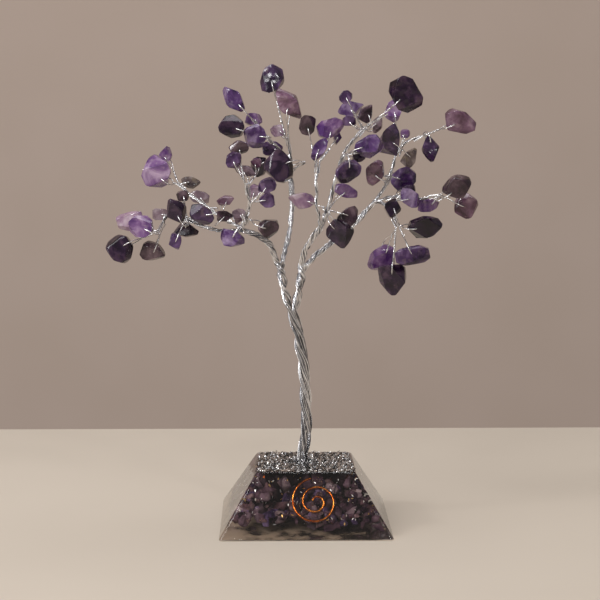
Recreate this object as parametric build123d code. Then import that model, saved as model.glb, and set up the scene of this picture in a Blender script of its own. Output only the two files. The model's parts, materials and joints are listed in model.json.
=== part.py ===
from build123d import *
import os
from math import atan2, cos, degrees, pi, radians, sin, tan
from random import Random

# Gemstone tree: drilled amethyst chips on twisted silver wire, cast into a clear resin block.
# Millimetres, +Z up, front of the tree towards -Y, origin under the middle of the block.

# Resin block
BASE_WIDTH = 60.0
BASE_TOP_WIDTH = 34.0
BASE_HEIGHT = 21.0
BASE_EDGE_ROUND = 0.8
CAST_GAP = 0.05

# Stone chips cast in the block
CHIP_FLOOR = 3.4
CHIP_PITCH = 8.4
CHIP_RADIUS = 3.9
CHIP_WALL = 2.2
CHIP_LAYERS = 2
CHIP_JITTER = 0.12

# Copper spiral behind the front face
SPIRAL_WIRE = 0.8
SPIRAL_DEPTH = 1.2
SPIRAL_START = 1.25
SPIRAL_PITCH = 3.05
SPIRAL_QUARTERS = 9
SPIRAL_LAST_SWEEP = 75
SPIRAL_CENTRE_X = 3.5
SPIRAL_CENTRE_Z = 13.2

# Shavings on top of the block
SHAVINGS_MARGIN = 0.3
SHAVINGS_LOW = 0.35
SHAVINGS_HIGH = 0.95
SHAVINGS_CELLS = 8

# Wire
STRAND_DIAMETER = 0.72
STRAND_GAP = 0.04
STRAND_SIDES = 5
BRANCH_SWELL = 0.16
WIRE_DIAMETER = 0.56
WIRE_SIDES = 4
TWIG_GAP = 0.14
TWIG_SPREAD = 70.0
BORE_CLEARANCE = 0.2
LOOP_CLEARANCE = 0.12
RIM_CLEARANCE = 0.4
TAIL_LENGTH = 3.0
TAIL_LEAD = 0.8
TURN_BACK = 0.9
NECK_LENGTH = 0.95
NECK_SHARE = 0.55
NECK_LEAN = 70
BORE_INSET = 2.4

# Trunk and stems, from the top of the block
ROOT_DEPTH = 6.5
SOCKET_CLEARANCE = 0.15
TRUNK_HEIGHT = 54.0
TRUNK_TURN = 630.0
STEM_TURN = 450.0
STATION_TURN = 45.0
LAY_TURN = 40.0
HINGE_GAP = 0.6

# Stones
STONE_THICKNESS = 0.62
STONE_LEAST = 2.8
STONE_LEAN = 16.0

# Sideways run of the trunk: share of its height, then x
TRUNK_BOW = [(0.0, -1.0), (0.25, 0.7), (0.45, 0.3), (0.65, -0.4), (0.82, -1.9), (1.0, -4.3)]

# Stem axes and limb axes, from the trunk's fork
STEMS = {
    "left": [(-3.0, 0, 8.0), (-4.4, 0, 17.0)],
    "right": [(2.2, 0, 7.5), (3.7, 0, 16.0)],
}
LIMBS = {
    "left_limb": ("left", 1, [(-8.0, -3, 23.5), (-11.5, -5, 26.5), (-17.0, -7, 29.0)]),
    "mid_left_limb": ("left", -1, [(-2.0, 4, 23.5), (-0.5, 8, 31.0), (0.0, 11, 40.0), (-0.5, 13, 48.0)]),
    "mid_right_limb": ("right", 1, [(4.5, -3, 21.5), (6.5, -5, 25.5), (9.5, -7, 29.5)]),
    "right_limb": ("right", -1, [(9.0, 2, 20.0), (14.5, 5, 24.0), (21.0, 8, 29.0), (29.5, 10, 37.5)]),
}

# Branch strands, from the end of their limb through the knots where their twigs leave
BRANCHES = {
    "left_low_branch": ("left_limb", [(-27.0, -7, 29.0), (-37.0, -5, 32.5), (-43.0, -4, 34.0), (-46.0, -4, 28.5)]),
    "left_high_branch": ("left_limb", [(-24.0, -3, 32.5), (-30.0, 0, 36.5), (-40.0, 3, 44.0)]),
    "left_inner_branch": ("left_limb", [(-16.0, -13, 33.5), (-15.0, -17, 39.0), (-15.5, -17, 44.5)]),
    "top_branch": ("mid_left_limb", [(-0.5, 13, 54.0), (-1.5, 12, 60.0)]),
    "upper_left_branch": ("mid_left_limb", [(-4.0, 15, 55.0), (-9.0, 14, 60.5)]),
    "mid_left_branch": ("mid_left_limb", [(4.5, 9, 51.5)]),
    "center_branch": ("mid_right_limb", [(8.5, -9, 36.0), (8.0, -9, 44.0), (8.5, -8, 51.5)]),
    "inner_right_branch": ("mid_right_limb", [(12.0, -8, 36.0), (14.5, -10, 46.0), (16.5, -10, 54.0)]),
    "long_branch": ("mid_right_limb", [(14.0, -3.5, 43.0), (18.0, -4, 55.5), (24.5, -6, 63.5), (32.5, -7, 69.0)]),
    "right_high_branch": ("right_limb", [(32.5, 11, 42.0), (34.5, 11, 46.5), (38.5, 13, 56.5), (45.5, 11, 61.0)]),
    "right_branch": ("right_limb", [(36.0, 7, 39.5), (44.0, 5, 39.0), (51.0, 3, 40.0)]),
    "right_low_branch": ("right_limb", [(33.5, 5, 35.5), (36.5, 0, 30.0)]),
}

# Sprays: branch, then each stone as knot, form, x, y, z, length, width, tilt
SPRAYS = {
    "left_tip": ("left_low_branch", [
        (3, "block", -59.5, -6, 22.5, 10.0, 8.6, -55),
        (3, "block", -56.5, 1, 31.5, 9.4, 7.0, 15),
        (3, "block", -52.0, -10.5, 30.5, 8.2, 7.6, 0),
        (3, "wedge", -48.5, -3, 21.0, 8.7, 6.2, -20),
        (2, "block", -46.5, 5, 33.5, 5.3, 4.2, 0),
    ]),
    "left_low": ("left_low_branch", [
        (1, "leaf", -40.0, -11, 36.0, 9.2, 6.8, -60),
        (1, "wedge", -37.0, -1, 28.5, 10.8, 4.9, -15),
        (1, "leaf", -40.5, -8, 25.0, 6.2, 4.8, -70),
        (1, "block", -38.0, -4, 40.5, 4.8, 3.8, 0),
    ]),
    "left_upper": ("left_high_branch", [
        (2, "block", -47.0, 0, 48.5, 10.4, 9.4, 70),
        (2, "leaf", -44.5, 8, 54.0, 8.1, 4.6, 75),
        (2, "wedge", -35.5, 8, 44.5, 7.0, 4.2, 5),
    ]),
    "left_mid": ("left_high_branch", [
        (1, "block", -31.5, -8.8, 34.5, 8.9, 6.2, -30),
        (1, "block", -32.5, 6, 39.5, 7.0, 4.6, -10),
        (0, "wedge", -23.5, 4, 38.5, 6.0, 3.5, 20),
        (0, "wedge", -23.2, -11, 34.0, 5.9, 3.8, 0),
    ]),
    "left_inner": ("left_inner_branch", [
        (0, "block", -18.5, -6, 34.0, 4.8, 4.5, 30),
        (0, "wedge", -20.5, -14, 26.5, 9.6, 5.8, -12),
        (0, "wedge", -8.0, -14, 30.5, 6.8, 6.5, 40),
    ]),
    "left_crest": ("left_inner_branch", [
        (0, "block", -13.5, -9.0, 42.5, 4.8, 4.1, 30),
        (1, "block", -9.0, -21, 45.0, 6.7, 4.7, 20),
        (1, "wedge", -8.5, -13, 39.5, 5.8, 5.1, -40),
        (2, "block", -18.5, -13, 57.5, 6.8, 4.8, -20),
        (2, "block", -20.0, -20, 53.5, 5.7, 5.0, 80),
        (2, "leaf", -16.5, -10.5, 49.5, 13.3, 3.7, -8),
        (2, "block", -12.5, -6, 52.0, 3.8, 3.1, 0),
    ]),
    "top": ("top_branch", [
        (1, "block", -7.0, 12.5, 80.5, 10.2, 7.7, 65),
        (1, "leaf", -1.0, 5, 72.0, 13.6, 7.0, -48),
        (1, "block", -5.0, 18, 62.5, 5.3, 4.3, 10),
        (0, "wedge", -7.0, 20, 56.0, 7.5, 5.4, 0),
    ]),
    "upper_left": ("upper_left_branch", [
        (1, "leaf", -20.5, 9, 73.5, 13.0, 6.3, -46),
        (1, "block", -21.0, 15, 64.0, 8.5, 7.8, -30),
        (1, "block", -13.5, 19, 66.5, 7.1, 4.3, 0),
        (1, "block", -13.0, 7, 61.0, 9.5, 7.0, -75),
        (0, "block", -12.0, 14, 50.0, 7.1, 6.0, 70),
    ]),
    "mid_left": ("mid_left_branch", [
        (0, "block", -4.5, 4, 50.0, 10.5, 9.1, -50),
    ]),
    "center": ("center_branch", [
        (2, "block", 5.0, -7, 65.0, 6.9, 5.5, 80),
        (2, "leaf", 9.0, -14, 57.0, 11.2, 4.4, 60),
        (2, "block", 13.0, -8, 64.0, 9.2, 6.5, 15),
        (2, "leaf", 15.5, -3, 60.5, 4.8, 2.8, 80),
    ]),
    "inner_right": ("inner_right_branch", [
        (0, "wedge", 4.0, -4, 39.0, 11.7, 5.5, 10),
        (0, "leaf", 18.5, 0.5, 42.0, 14.6, 4.9, -18),
        (0, "wedge", 19.5, -10, 34.0, 10.0, 5.8, 45),
        (0, "block", 16.0, -14, 28.5, 9.6, 7.2, -35),
    ]),
    "mid_right": ("inner_right_branch", [
        (2, "block", 18.5, -16, 49.5, 9.2, 6.8, 40),
        (2, "block", 23.0, -7.5, 55.0, 6.2, 4.5, 75),
        (2, "block", 26.0, -13, 58.0, 8.9, 6.8, 35),
    ]),
    "long": ("long_branch", [
        (2, "block", 18.0, -11, 74.5, 4.8, 4.1, 50),
        (2, "leaf", 20.0, -3, 70.5, 9.3, 5.9, 20),
        (2, "block", 19.0, -14, 66.5, 4.8, 3.4, 0),
        (2, "wedge", 25.0, -12, 69.0, 6.8, 4.4, 60),
        (2, "leaf", 29.5, 0, 65.0, 7.6, 3.5, 65),
        (3, "block", 38.5, -9, 75.5, 12.3, 9.6, -60),
    ]),
    "right_high": ("right_high_branch", [
        (1, "leaf", 29.0, 6, 48.0, 12.3, 6.7, 65),
        (1, "block", 40.0, 16, 45.5, 8.9, 7.8, 45),
    ]),
    "right_top": ("right_high_branch", [
        (2, "block", 34.0, 6, 59.5, 14.0, 6.7, 82),
        (2, "block", 36.0, 14, 69.5, 7.8, 5.7, 70),
        (2, "block", 40.5, 18, 61.5, 3.5, 3.2, 0),
        (2, "wedge", 42.5, 19, 53.0, 7.5, 5.0, 50),
        (3, "leaf", 48.5, 5, 56.5, 9.1, 6.3, -80),
        (3, "block", 59.0, 9, 66.0, 12.0, 7.7, -12),
    ]),
    "right": ("right_branch", [
        (0, "block", 41.5, 11.5, 42.0, 5.0, 3.5, 0),
        (0, "block", 41.0, -1, 39.5, 8.1, 5.6, -32),
        (2, "wedge", 48.5, 8, 36.5, 9.0, 4.9, 0),
        (2, "leaf", 57, -2, 43.5, 10.8, 8.3, 25),
        (2, "block", 61.5, 7, 36.5, 8.1, 7.8, 60),
    ]),
    "right_low": ("right_low_branch", [
        (1, "leaf", 34.5, -7, 36.5, 7.3, 5.9, 80),
        (1, "wedge", 46.5, -1, 29.5, 13.6, 7.0, 20),
        (1, "block", 31.5, 6, 18.0, 10.2, 7.4, 75),
        (1, "block", 41.5, -6, 20.0, 12.2, 6.6, 10),
        (1, "wedge", 35.0, -1, 11.3, 10.8, 9.4, -85),
    ]),
}

# Sizes that follow from the ones above
STATION_SHRINK = cos(radians(STATION_TURN / 2))
LAY_RADIUS = (STRAND_DIAMETER + STRAND_GAP) / 2 / sin(pi / 3) / cos(radians(LAY_TURN / 2))
PLY_RADIUS = LAY_RADIUS + STRAND_DIAMETER / 2 + STRAND_GAP / 2
PLY_OFFSET = PLY_RADIUS / STATION_SHRINK
TRUNK_RADIUS = PLY_OFFSET * 2 ** 0.5 + PLY_RADIUS
NECK_OFFSET = (WIRE_DIAMETER + TWIG_GAP) / 2
FORK = Vector(TRUNK_BOW[-1][1], 0, BASE_HEIGHT + TRUNK_HEIGHT)
FACE_LEAN = (BASE_WIDTH - BASE_TOP_WIDTH) / 2 / BASE_HEIGHT
X = Vector(1, 0, 0)
Y = Vector(0, 1, 0)
Z = Vector(0, 0, 1)


def closed_solid(rings):
    """Solid with flat faces between rings of points, and a cap on the first and last ring."""
    sides = len(rings[0])
    faces = []
    for low, high in zip(rings, rings[1:]):
        for i in range(sides):
            j = (i + 1) % sides
            faces.append(Face(Wire.make_polygon([low[i], low[j], high[j], high[i]])))
    faces.append(Face(Wire.make_polygon(rings[0])))
    faces.append(Face(Wire.make_polygon(rings[-1])))
    return Solid(Shell(faces))


def tube(points, diameter, sides, swell=None):
    """Straight runs of wire with mitred bends through the points, tapered where a swell is given for each point."""
    points = [Vector(p) for p in points]
    runs = [(b - a).normalized() for a, b in zip(points, points[1:])]
    across = runs[0].cross(X if abs(runs[0].X) < 0.8 else Y).normalized()
    up = runs[0].cross(across)
    turns = [2 * pi * i / sides for i in range(sides)]
    ring = [points[0] + across * (diameter / 2 * cos(t)) + up * (diameter / 2 * sin(t)) for t in turns]
    rings = [ring]
    for i in range(1, len(points)):
        run = runs[i - 1]
        mitre = (run + runs[min(i, len(runs) - 1)]).normalized()
        taper = 1 - swell[i] / swell[i - 1] if swell else 0
        if taper:
            apex = points[i - 1] + run * ((points[i] - points[i - 1]).length / taper)
            ways = [apex - p for p in ring]
        else:
            ways = [run for p in ring]
        ring = [p + way * ((points[i] - p).dot(mitre) / way.dot(mitre)) for p, way in zip(ring, ways)]
        rings.append(ring)
    return closed_solid(rings)


def curve(points, steps):
    """Smooth curve through the points, with the given number of steps between each two."""
    ends = [points[0] * 2 - points[1]] + points + [points[-1] * 2 - points[-2]]
    out = [points[0]]
    for a, b, c, d in zip(ends, ends[1:], ends[2:], ends[3:]):
        for i in range(1, steps + 1):
            t = i / steps
            p = b * 2 + (c - a) * t + (a * 2 - b * 5 + c * 4 - d) * t ** 2
            out.append((p + (b * 3 - a - c * 3 + d) * t ** 3) * 0.5)
    return out


def around(angle):
    """Unit vector in the level plane at an angle from +X."""
    return Vector(cos(radians(angle)), sin(radians(angle)), 0)


def bow(share):
    """Sideways place of the trunk's axis at a share of its height."""
    share = max(share, 0.0)
    for (low, a), (high, b) in zip(TRUNK_BOW, TRUNK_BOW[1:]):
        if share <= high:
            t = (share - low) / (high - low)
            return a + (b - a) * t * t * (3 - 2 * t)
    return TRUNK_BOW[-1][1]


def ply_path(stem, half):
    """Middle line of one ply from its buried end to the fork of its stem."""
    side = 1 if stem == "left" else -1
    stations = round(TRUNK_TURN / STATION_TURN)
    path = []
    for i in range(stations):
        z = -ROOT_DEPTH + (TRUNK_HEIGHT + ROOT_DEPTH) * i / stations
        angle = 180 + TRUNK_TURN * (1 - i / stations)
        axis = Vector(bow(z / TRUNK_HEIGHT), 0, BASE_HEIGHT + z)
        path.append(axis + around(angle) * (side * PLY_OFFSET) + around(angle + 90) * (half * PLY_OFFSET))
    axis = [FORK - X * (side * PLY_OFFSET)] + [FORK + Vector(p) for p in STEMS[stem]]
    stations = round(STEM_TURN / STATION_TURN / (len(axis) - 1))
    stem_line = curve(axis, stations)
    for i, p in enumerate(stem_line):
        angle = 270 - STEM_TURN * (i / (len(stem_line) - 1)) ** 1.3
        path.append(p + around(angle) * (half * PLY_OFFSET))
    return path


def frames(path):
    """Two level-carried cross directions at each point of a path."""
    out = []
    across = X
    for i, p in enumerate(path):
        run = (path[min(i + 1, len(path) - 1)] - path[max(i - 1, 0)]).normalized()
        across = (across - run * across.dot(run)).normalized()
        out.append((across, run.cross(across)))
    return out


def spread(angles, least):
    """Angles in degrees, in order round a circle, pushed apart until none is nearer than the least."""
    order = sorted(range(len(angles)), key=lambda i: angles[i] % 360)
    out = [angles[i] % 360 for i in order]
    for _ in range(200):
        for i in range(len(out)):
            j = (i + 1) % len(out)
            gap = out[j] - out[i] + (360 if j == 0 else 0)
            if gap < least and len(out) > 1:
                out[i] -= (least - gap) / 2
                out[j] += (least - gap) / 2
    placed = [0.0] * len(angles)
    for place, i in enumerate(order):
        placed[i] = out[place]
    return placed


def angle_of(direction, frame):
    """Angle of a direction round a run, in its two cross directions."""
    return degrees(atan2(direction.dot(frame[1]), direction.dot(frame[0])))


def facets(form, length, width, thick, rng):
    """Cutting planes of a stone about its middle, as unit normals with distances."""
    cuts = []
    near = {"block": (0.35, 0.6), "leaf": (0.75, 0.95), "wedge": (0.15, 0.4)}[form]
    far = {"block": (0.35, 0.6), "leaf": (0.75, 0.95), "wedge": (0.75, 0.95)}[form]
    for sx, sy in ((1, 1), (1, -1), (-1, 1), (-1, -1)):
        share = rng.uniform(*(far if sx > 0 else near))
        lean = rng.uniform(-0.35, 0.35) * min(length, width)
        normal = Vector(sx * width, sy * length, lean)
        reach = length * width * (1 - share / 2)
        cuts.append((normal.normalized(), reach / normal.length))
    for face in (1, -1):
        turn = rng.uniform(0, 360)
        for k in range(2):
            flat = around(turn + 180 * k + rng.uniform(-35, 35))
            edge = 0.5 / ((flat.X / length) ** 2 + (flat.Y / width) ** 2) ** 0.5
            slope = radians(rng.uniform(48, 62))
            normal = flat * sin(slope) + Z * (face * cos(slope))
            at = flat * (edge * rng.uniform(0.5, 0.72)) + Z * (face * thick / 2)
            cuts.append((normal, normal.dot(at)))
    return cuts


def chip(length, width, thick, cuts, allowance=0.0):
    """Stone of flat faces about the origin, grown all round by an allowance."""
    body = Solid.make_box(length + 2 * allowance, width + 2 * allowance, thick + 2 * allowance)
    body = body.moved(Location((-length / 2 - allowance, -width / 2 - allowance, -thick / 2 - allowance)))
    for normal, distance in cuts:
        body = body.split(Plane(normal * (distance + allowance), z_dir=normal), keep=Keep.BOTTOM)
    return body


def edge_along(cuts, length, width, flat):
    """Distance from the middle of a stone to its edge along a direction in its flat."""
    walls = cuts + [(X, length / 2), (-X, length / 2), (Y, width / 2), (-Y, width / 2)]
    return min(distance / normal.dot(flat) for normal, distance in walls if normal.dot(flat) > 1e-6)


def save(solids, node):
    """One STEP file for a node."""
    solids = [s for s in solids]
    for s in solids:
        s.label = node
    export_step(solids[0] if len(solids) == 1 else Compound(label=node, children=solids), f"parts/{node}.step")


os.makedirs("parts", exist_ok=True)

# Resin block: a box with its four sides leaned in and its corner edges rounded
block = Solid.make_box(BASE_WIDTH, BASE_WIDTH, BASE_HEIGHT).moved(Location((-BASE_WIDTH / 2, -BASE_WIDTH / 2, 0)))
for turn in range(0, 360, 90):
    outward = (around(turn) + Z * FACE_LEAN).normalized()
    block = block.split(Plane(around(turn) * (BASE_WIDTH / 2), z_dir=outward), keep=Keep.BOTTOM)
corner_edges = [e for e in block.edges() if abs(e.tangent_at(0.5).Z) > 0.1]
block = block.fillet(BASE_EDGE_ROUND, corner_edges)
foot = Vector(bow(0), 0, BASE_HEIGHT)
socket_depth = ROOT_DEPTH + SOCKET_CLEARANCE
socket_radius = TRUNK_RADIUS + SOCKET_CLEARANCE
socket = Solid.make_cylinder(socket_radius, socket_depth).moved(Location(foot - Z * socket_depth))
block = block.cut(socket)

# Stone chips in the block, in level layers
chips = []
pockets = []
rng = Random(7)
layer_step = (BASE_HEIGHT - CHIP_FLOOR - CAST_GAP) / CHIP_LAYERS
for layer in range(CHIP_LAYERS):
    z = CHIP_FLOOR + layer_step * (layer + 0.5) - 0.3
    room = BASE_WIDTH / 2 - z * FACE_LEAN - (CHIP_RADIUS + CHIP_WALL) * (1 + FACE_LEAN ** 2) ** 0.5
    count = int(2 * room / CHIP_PITCH) + 1
    for i in range(count * count):
        x = (i % count - (count - 1) / 2) * CHIP_PITCH
        y = (i // count - (count - 1) / 2) * CHIP_PITCH
        place = Vector(x, y, z) + Vector(rng.uniform(-1, 1), rng.uniform(-1, 1), 0) * CHIP_JITTER
        spin = Rotation(rng.uniform(0, 360), rng.uniform(0, 360), rng.uniform(0, 360))
        size = [rng.uniform(1.7, 2.0), rng.uniform(1.3, 1.6), rng.uniform(0.95, 1.2)]
        scale = CHIP_RADIUS / 1.12
        size = [s * scale for s in size]
        form = rng.choice(("block", "leaf", "wedge"))
        cuts = facets(form, *size, rng)[:6]
        level = Vector(place.X - foot.X, place.Y, 0)
        if level.length < socket_radius + CHIP_RADIUS and z + CHIP_RADIUS > BASE_HEIGHT - socket_depth:
            place = place + level.normalized() * (socket_radius + CHIP_RADIUS - level.length)
        made = chip(*size, cuts)
        reach = max(v.center().length for v in made.vertices())
        if reach > CHIP_RADIUS:
            size = [s * CHIP_RADIUS / reach for s in size]
            cuts = [(n, d * CHIP_RADIUS / reach) for n, d in cuts]
            made = chip(*size, cuts)
        chips.append(made.moved(Location(place) * spin))
        pockets.append(chip(*size, cuts, CAST_GAP).moved(Location(place) * spin))

# Copper spiral of quarter turns, in a plane behind the front face
face_up = (Z + Y * FACE_LEAN).normalized()
face_out = X.cross(face_up)
face_at = Vector(SPIRAL_CENTRE_X, -BASE_WIDTH / 2 + SPIRAL_CENTRE_Z * FACE_LEAN, SPIRAL_CENTRE_Z)
spiral_plane = Plane(face_at - face_out * SPIRAL_DEPTH, x_dir=X, z_dir=face_out)
arcs = []
centre = Vector(0, 0, 0)
for k in range(SPIRAL_QUARTERS):
    radius = SPIRAL_START + SPIRAL_PITCH / 4 * k
    start = 180 - 90 * k
    sweep_angle = SPIRAL_LAST_SWEEP if k == SPIRAL_QUARTERS - 1 else 90
    points = [centre + around(start - sweep_angle * t) * radius for t in (0, 0.5, 1)]
    arcs.append(Edge.make_three_point_arc(*[spiral_plane.from_local_coords(p) for p in points]))
    centre = centre - around(start - 90) * (SPIRAL_PITCH / 4)
spiral_line = Wire(arcs)
spiral_start = Plane(spiral_line.position_at(0), x_dir=face_out, z_dir=spiral_line.tangent_at(0))
spiral = sweep(spiral_start * RegularPolygon(SPIRAL_WIRE / 2, 8), path=spiral_line)
spiral_pocket = sweep(spiral_start * RegularPolygon(SPIRAL_WIRE / 2 + CAST_GAP, 8), path=spiral_line)
for pocket in pockets:
    block = block.cut(pocket)
block = block.cut(spiral_pocket.solid())
save(block.solids(), "resin_base")
save(chips, "resin_chips")
save(spiral.solids(), "copper_spiral")

# Bed of shavings: a rough sheet on the block with a hole for the trunk
rng = Random(19)
bed_width = BASE_TOP_WIDTH - 2 * SHAVINGS_MARGIN
cell = bed_width / SHAVINGS_CELLS
tops = {}
for i in range(SHAVINGS_CELLS + 1):
    for j in range(SHAVINGS_CELLS + 1):
        rim = i in (0, SHAVINGS_CELLS) or j in (0, SHAVINGS_CELLS)
        height = rng.uniform(SHAVINGS_LOW, (SHAVINGS_LOW + SHAVINGS_HIGH) / 2 if rim else SHAVINGS_HIGH)
        tops[i, j] = Vector(i * cell - bed_width / 2, j * cell - bed_width / 2, BASE_HEIGHT + height)
faces = []
for i in range(SHAVINGS_CELLS):
    for j in range(SHAVINGS_CELLS):
        a, b, c, d = tops[i, j], tops[i + 1, j], tops[i + 1, j + 1], tops[i, j + 1]
        faces.append(Face(Wire.make_polygon([a, b, c])))
        faces.append(Face(Wire.make_polygon([a, c, d])))
rim = [(i, 0) for i in range(SHAVINGS_CELLS)] + [(SHAVINGS_CELLS, j) for j in range(SHAVINGS_CELLS)]
rim += [(SHAVINGS_CELLS - i, SHAVINGS_CELLS) for i in range(SHAVINGS_CELLS)]
rim += [(0, SHAVINGS_CELLS - j) for j in range(SHAVINGS_CELLS)]
floor = [Vector(tops[k].X, tops[k].Y, BASE_HEIGHT) for k in rim]
for k in range(len(rim)):
    n = (k + 1) % len(rim)
    faces.append(Face(Wire.make_polygon([floor[k], floor[n], tops[rim[n]], tops[rim[k]]])))
faces.append(Face(Wire.make_polygon([floor[k] for k in range(0, len(rim), SHAVINGS_CELLS)])))
bed = Solid(Shell(faces))
bed = bed.cut(Solid.make_cylinder(socket_radius, 2 * SHAVINGS_HIGH).moved(Location(foot - Z * SHAVINGS_HIGH)))
save(bed.solids(), "metal_shavings")

# Plies of the trunk and the branch strands that carry on from them
branch_lines = {}
for limb, (stem, half, route) in LIMBS.items():
    low = ply_path(stem, half)
    high = curve([low[-1]] + [FORK + Vector(p) for p in route], 2)
    tips = [name for name in BRANCHES if BRANCHES[name][0] == limb]
    path = low + high[1:]
    cross = frames(path)
    wanted = [angle_of(FORK + Vector(BRANCHES[name][1][0]) - path[-1], cross[-1]) for name in tips]
    slots = spread(wanted, 120)
    for name, slot in zip(tips, slots):
        line = []
        for i, (p, (across, up)) in enumerate(zip(path, cross)):
            angle = radians(slot + LAY_TURN * (len(path) - 1 - i))
            line.append(p + across * (LAY_RADIUS * cos(angle)) + up * (LAY_RADIUS * sin(angle)))
        pivot = len(low) - 1
        below = (line[pivot] - line[pivot - 1]).normalized()
        above = (line[pivot + 1] - line[pivot]).normalized()
        branch_lines[name] = {
            "low": line[:pivot] + [line[pivot] - below * (HINGE_GAP / 2)],
            "high": [line[pivot] + above * (HINGE_GAP / 2)] + line[pivot + 1:],
            "knots": [FORK + Vector(p) for p in BRANCHES[name][1]],
        }
        knots = len(BRANCHES[name][1])
        branch_lines[name]["swell"] = [1 + BRANCH_SWELL * (knots - 1 - i) for i in range(knots)]
    plies = [tube(branch_lines[name]["low"], STRAND_DIAMETER, STRAND_SIDES) for name in tips]
    save(plies, limb.replace("_limb", "_ply"))
for name, line in branch_lines.items():
    swell = [1] * len(line["high"]) + line["swell"]
    save([tube(line["high"] + line["knots"], STRAND_DIAMETER, STRAND_SIDES, swell)], name)

# Stones with their twigs
for number, (spray, (branch, stones)) in enumerate(SPRAYS.items()):
    rng = Random(100 + number)
    line = branch_lines[branch]
    run_points = [line["high"][-1]] + line["knots"]
    made = []
    for knot, form, x, y, z, length, width, tilt in stones:
        middle = FORK + Vector(x, y, z)
        thick = max(STONE_THICKNESS * width, STONE_LEAST)
        long_way = Vector(cos(radians(tilt)), 0, sin(radians(tilt)))
        lean = long_way * tan(radians(rng.uniform(-STONE_LEAN, STONE_LEAN)))
        roll = long_way.cross(Y) * tan(radians(rng.uniform(-STONE_LEAN, STONE_LEAN)))
        plane = Plane(middle, x_dir=long_way, z_dir=-Y + lean + roll)
        made.append((knot, plane, length, width, thick, facets(form, length, width, thick, rng)))
    gems = []
    twigs = []
    for knot in sorted({m[0] for m in made}):
        here = [m for m in made if m[0] == knot]
        at = run_points[knot + 1]
        run = (at - run_points[knot]).normalized()
        across = run.cross(X if abs(run.X) < 0.8 else Y).normalized()
        frame = (across, run.cross(across))
        wanted = [angle_of(m[1].origin - at, frame) for m in here]
        if knot + 2 < len(run_points):
            wanted.append(angle_of(run_points[knot + 2] - at, frame))
        slots = spread(wanted, min(TWIG_SPREAD, 360 / len(wanted) - 1))
        tail_ring = (STRAND_DIAMETER * line["swell"][knot] + WIRE_DIAMETER) / 2 + TWIG_GAP
        for (_, plane, length, width, thick, cuts), slot in zip(here, slots):
            ring = frame[0] * (tail_ring * cos(radians(slot))) + frame[1] * (tail_ring * sin(radians(slot)))
            leave = at + ring + run * (TAIL_LEAD if knot + 2 == len(run_points) else 0)
            local = plane.to_local_coords(leave)
            flat = Vector(local.X, local.Y, 0).normalized()
            edge = edge_along(cuts, length, width, flat)
            hole = flat * max(edge - BORE_INSET, edge * 0.25)
            toward = 1 if local.Z > 0 else -1
            lift = Z * (toward * (thick / 2 + LOOP_CLEARANCE + WIRE_DIAMETER / 2))
            rim = flat * (edge + WIRE_DIAMETER + RIM_CLEARANCE)
            rise = min(atan2(abs(local.Z), Vector(local.X, local.Y, 0).length - rim.length), radians(NECK_LEAN))
            neck_length = NECK_LENGTH + thick / 4 + lift.length * sin(rise)
            neck_length = min(neck_length, (local - rim).length * NECK_SHARE)
            neck = rim + (flat * cos(rise) + Z * (toward * sin(rise))) * neck_length
            nip = (Z * (toward * cos(rise)) - flat * sin(rise)) * NECK_OFFSET
            loop = [neck + nip, rim + lift, hole + lift, hole - lift, rim - lift, neck - nip]
            loop = [plane.from_local_coords(p) for p in loop]
            start = [at + ring - run * TAIL_LENGTH, leave]
            if (loop[0] - leave).normalized().dot(run) < -0.2:
                start.append(leave + ring.normalized() * TURN_BACK)
            stem = start[-1] - loop[0]
            wire = start + loop + [loop[-1] + stem.normalized() * min(2.0, stem.length * 0.6)]
            twigs.append(tube(wire, WIRE_DIAMETER, WIRE_SIDES))
            bore = WIRE_DIAMETER + BORE_CLEARANCE
            drill = extrude(Plane(hole - Z * thick) * RegularPolygon(bore / 2 / cos(pi / 8), 8), amount=2 * thick)
            stone = chip(length, width, thick, cuts).cut(drill.solid())
            gems.append(plane.from_local_coords(stone))
    save(twigs, spray + "_twigs")
    save(gems, spray + "_stones")
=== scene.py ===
import json
from math import ceil, cos, pi, radians, sin
from random import Random

import bmesh
import bpy
from mathutils import Euler, Matrix, Vector, noise
from mathutils.geometry import interpolate_bezier

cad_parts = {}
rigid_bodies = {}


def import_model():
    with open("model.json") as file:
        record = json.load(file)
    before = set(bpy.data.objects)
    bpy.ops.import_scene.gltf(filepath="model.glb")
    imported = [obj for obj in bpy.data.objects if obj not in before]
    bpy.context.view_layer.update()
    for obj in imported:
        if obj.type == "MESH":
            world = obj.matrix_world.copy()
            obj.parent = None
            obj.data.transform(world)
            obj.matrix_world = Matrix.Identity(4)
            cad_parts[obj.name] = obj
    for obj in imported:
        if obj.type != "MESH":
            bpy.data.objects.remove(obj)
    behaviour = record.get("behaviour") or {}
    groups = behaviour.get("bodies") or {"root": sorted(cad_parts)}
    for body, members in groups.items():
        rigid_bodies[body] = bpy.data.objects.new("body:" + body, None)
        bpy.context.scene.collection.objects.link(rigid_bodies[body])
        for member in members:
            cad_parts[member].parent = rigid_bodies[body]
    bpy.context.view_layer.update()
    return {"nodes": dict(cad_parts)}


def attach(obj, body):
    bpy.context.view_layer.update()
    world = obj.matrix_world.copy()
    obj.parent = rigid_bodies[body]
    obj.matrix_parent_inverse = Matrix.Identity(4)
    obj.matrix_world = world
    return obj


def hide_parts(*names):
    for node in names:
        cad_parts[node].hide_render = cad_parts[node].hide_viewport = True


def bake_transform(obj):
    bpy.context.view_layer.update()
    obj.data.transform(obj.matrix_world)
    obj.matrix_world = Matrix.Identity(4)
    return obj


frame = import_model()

MM = 0.001
TURN = 2 * pi

# Resin block, as in the part's source
BASE_WIDTH = 60 * MM
BASE_TOP_WIDTH = 34 * MM
BASE_HEIGHT = 21 * MM
BASE_EDGE_ROUND = 0.8 * MM
FACE_LEAN = (BASE_WIDTH - BASE_TOP_WIDTH) / 2 / BASE_HEIGHT
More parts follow.
